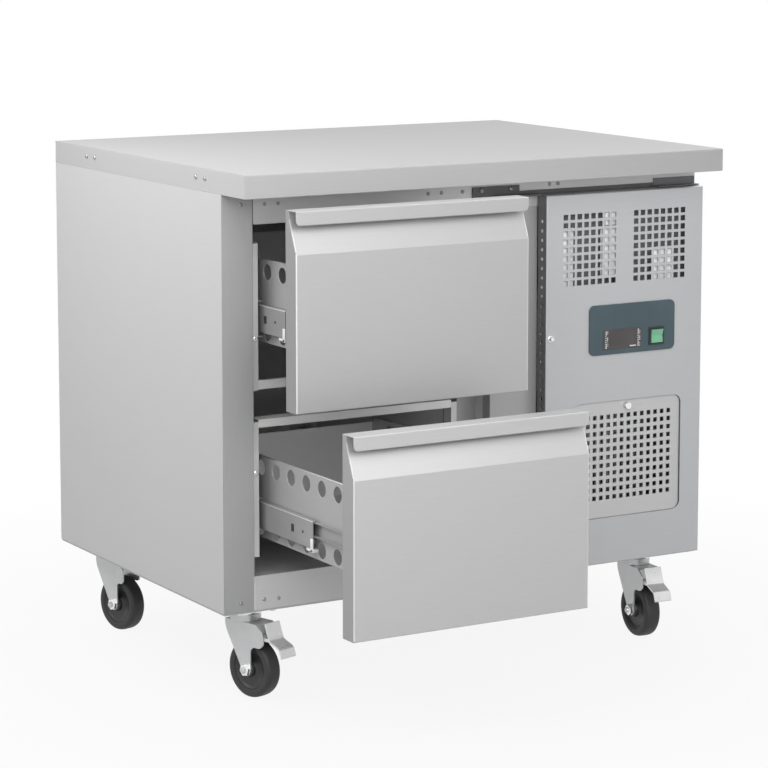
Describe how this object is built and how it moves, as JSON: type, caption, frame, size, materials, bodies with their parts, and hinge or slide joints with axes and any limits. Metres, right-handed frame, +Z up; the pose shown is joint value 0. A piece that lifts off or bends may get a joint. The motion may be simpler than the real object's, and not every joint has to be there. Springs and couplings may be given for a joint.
{
  "type": "refrigerated counter",
  "caption": "Stainless refrigerated counter with insulated slide-out drawers, a side cooling unit behind a vented service panel, and swivel castors.",
  "frame": {"origin": "On the floor under the middle of the counter's box as it stands, drawers drawn out.", "axes": "X to the right along the front, Y from the front to the back, Z up."},
  "size_m": [0.9, 0.9714, 0.85],
  "materials": {
    "stainless": "satin brushed stainless steel",
    "galvanised": "galvanised sheet",
    "liner": "plain stainless lining",
    "board": "moisture resistant board",
    "foam": "rigid insulating foam",
    "seal": "soft magnetic gasket",
    "dark_plastic": "dark moulded plastic",
    "fascia": "printed blue grey label",
    "window": "dark display window",
    "rocker": "green lit rocker",
    "tyre": "grey rubber tread",
    "black_steel": "black enamel",
    "coil": "finned coil"
  },
  "bodies": {
    "cabinet": {"back_panel": "stainless", "base_panel": "galvanised", "bottom_rail": "stainless", "castor_plates": "galvanised", "compressor": "black_steel", "condenser": "coil", "condenser_shroud": "galvanised", "cross_bars": "stainless", "evaporator": "coil", "evaporator_cover": "stainless", "hinge_plate": "black_steel", "inner_liner": "liner", "insulation": "foam", "left_side_panel": "stainless", "left_stile": "stainless", "mullion": "stainless", "panel_hinges": "stainless", "recess_panel": "stainless", "right_side_panel": "stainless", "slide_outer_members": "galvanised", "slide_uprights": "galvanised", "top_rail": "stainless", "worktop_core": "board", "worktop_skin": "stainless"},
    "upper_drawer": {"upper_drawer_front": "stainless", "upper_drawer_core": "foam", "upper_drawer_inner_panel": "stainless", "upper_drawer_gasket": "seal", "upper_drawer_sides": "stainless", "upper_drawer_tray": "stainless", "upper_slide_inner": "galvanised"},
    "upper_slide": {"upper_slide_middle": "galvanised"},
    "lower_drawer": {"lower_drawer_front": "stainless", "lower_drawer_core": "foam", "lower_drawer_inner_panel": "stainless", "lower_drawer_gasket": "seal", "lower_drawer_sides": "stainless", "lower_drawer_tray": "stainless", "lower_slide_inner": "galvanised"},
    "lower_slide": {"lower_slide_middle": "galvanised"},
    "service_panel": {"service_panel": "stainless", "control_fascia": "fascia", "display_window": "window", "switch_bezel": "dark_plastic", "filter_pan": "stainless"},
    "filter_grille": {"filter_grille": "stainless"},
    "filter_knob": {"filter_knob": "dark_plastic"},
    "power_rocker": {"power_rocker": "rocker"},
    "condenser_fan": {"condenser_fan": "dark_plastic"},
    "evaporator_fan": {"evaporator_fan": "dark_plastic"},
    "castor_front_left_fork": {"castor_front_left_fork": "galvanised"},
    "castor_front_left_wheel": {"castor_front_left_wheel": "tyre"},
    "castor_front_left_pedal": {"castor_front_left_pedal": "galvanised"},
    "castor_front_right_fork": {"castor_front_right_fork": "galvanised"},
    "castor_front_right_wheel": {"castor_front_right_wheel": "tyre"},
    "castor_front_right_pedal": {"castor_front_right_pedal": "galvanised"},
    "castor_rear_left_fork": {"castor_rear_left_fork": "galvanised"},
    "castor_rear_left_wheel": {"castor_rear_left_wheel": "tyre"},
    "castor_rear_right_fork": {"castor_rear_right_fork": "galvanised"},
    "castor_rear_right_wheel": {"castor_rear_right_wheel": "tyre"}
  },
  "joints": [
    {"name": "upper_drawer_run", "type": "slide", "parent": "cabinet", "child": "upper_drawer", "axis": [0, -1, 0], "range_m": [-0.138, 0.312]},
    {"name": "upper_slide_run", "type": "slide", "parent": "cabinet", "child": "upper_slide", "axis": [0, -1, 0], "range_m": [-0.069, 0.156]},
    {"name": "lower_drawer_run", "type": "slide", "parent": "cabinet", "child": "lower_drawer", "axis": [0, -1, 0], "range_m": [-0.31, 0.14]},
    {"name": "lower_slide_run", "type": "slide", "parent": "cabinet", "child": "lower_slide", "axis": [0, -1, 0], "range_m": [-0.155, 0.07]},
    {"name": "service_panel_hinge", "type": "hinge", "parent": "cabinet", "child": "service_panel", "pos_m": [0.442, -0.14635, 0.155], "axis": [0, 0, 1], "range_deg": [0, 110]},
    {"name": "filter_grille_tilt", "type": "hinge", "parent": "service_panel", "child": "filter_grille", "pos_m": [0.297, -0.16435, 0.234], "axis": [1, 0, 0], "range_deg": [0, 75]},
    {"name": "filter_knob_turn", "type": "hinge", "parent": "filter_grille", "child": "filter_knob", "pos_m": [0.297, -0.16835, 0.4212], "axis": [0, -1, 0], "range_deg": [0, 90]},
    {"name": "power_rocker_tip", "type": "hinge", "parent": "service_panel", "child": "power_rocker", "pos_m": [0.352, -0.16785, 0.536], "axis": [-1, 0, 0], "range_deg": [0, 10]},
    {"name": "condenser_fan_spin", "type": "hinge", "parent": "cabinet", "child": "condenser_fan", "pos_m": [0.291, -0.01035, 0.292], "axis": [0, 1, 0], "continuous": true},
    {"name": "evaporator_fan_spin", "type": "hinge", "parent": "cabinet", "child": "evaporator_fan", "pos_m": [-0.009, 0.17365, 0.492], "axis": [1, 0, 0], "continuous": true},
    {"name": "castor_front_left_swivel", "type": "hinge", "parent": "cabinet", "child": "castor_front_left_fork", "pos_m": [-0.38, -0.07435, 0.13], "axis": [0, 0, 1], "continuous": true},
    {"name": "castor_front_left_roll", "type": "hinge", "parent": "castor_front_left_fork", "child": "castor_front_left_wheel", "pos_m": [-0.37415, -0.09348, 0.047], "axis": [0.9563, 0.2924, 0], "continuous": true},
    {"name": "castor_front_left_brake", "type": "hinge", "parent": "castor_front_left_fork", "child": "castor_front_left_pedal", "pos_m": [-0.36509, -0.12312, 0.102], "axis": [0.9563, 0.2924, 0], "range_deg": [0, 14]},
    {"name": "castor_front_right_swivel", "type": "hinge", "parent": "cabinet", "child": "castor_front_right_fork", "pos_m": [0.38, -0.07435, 0.13], "axis": [0, 0, 1], "continuous": true},
    {"name": "castor_front_right_roll", "type": "hinge", "parent": "castor_front_right_fork", "child": "castor_front_right_wheel", "pos_m": [0.37826, -0.09427, 0.047], "axis": [0.9962, -0.0872, 0], "continuous": true},
    {"name": "castor_front_right_brake", "type": "hinge", "parent": "castor_front_right_fork", "child": "castor_front_right_pedal", "pos_m": [0.37556, -0.12516, 0.102], "axis": [0.9962, -0.0872, 0], "range_deg": [0, 14]},
    {"name": "castor_rear_left_swivel", "type": "hinge", "parent": "cabinet", "child": "castor_rear_left_fork", "pos_m": [-0.38, 0.41765, 0.13], "axis": [0, 0, 1], "continuous": true},
    {"name": "castor_rear_left_roll", "type": "hinge", "parent": "castor_rear_left_fork", "child": "castor_rear_left_wheel", "pos_m": [-0.37516, 0.39824, 0.047], "axis": [0.9703, 0.2419, 0], "continuous": true},
    {"name": "castor_rear_right_swivel", "type": "hinge", "parent": "cabinet", "child": "castor_rear_right_fork", "pos_m": [0.38, 0.41765, 0.13], "axis": [0, 0, 1], "continuous": true},
    {"name": "castor_rear_right_roll", "type": "hinge", "parent": "castor_rear_right_fork", "child": "castor_rear_right_wheel", "pos_m": [0.37861, 0.3977, 0.047], "axis": [0.9976, -0.0698, 0], "continuous": true}
  ],
  "couplings": [
    {"joint": "upper_slide_run", "follows": "upper_drawer_run", "ratio": 0.5},
    {"joint": "lower_slide_run", "follows": "lower_drawer_run", "ratio": 0.5}
  ]
}
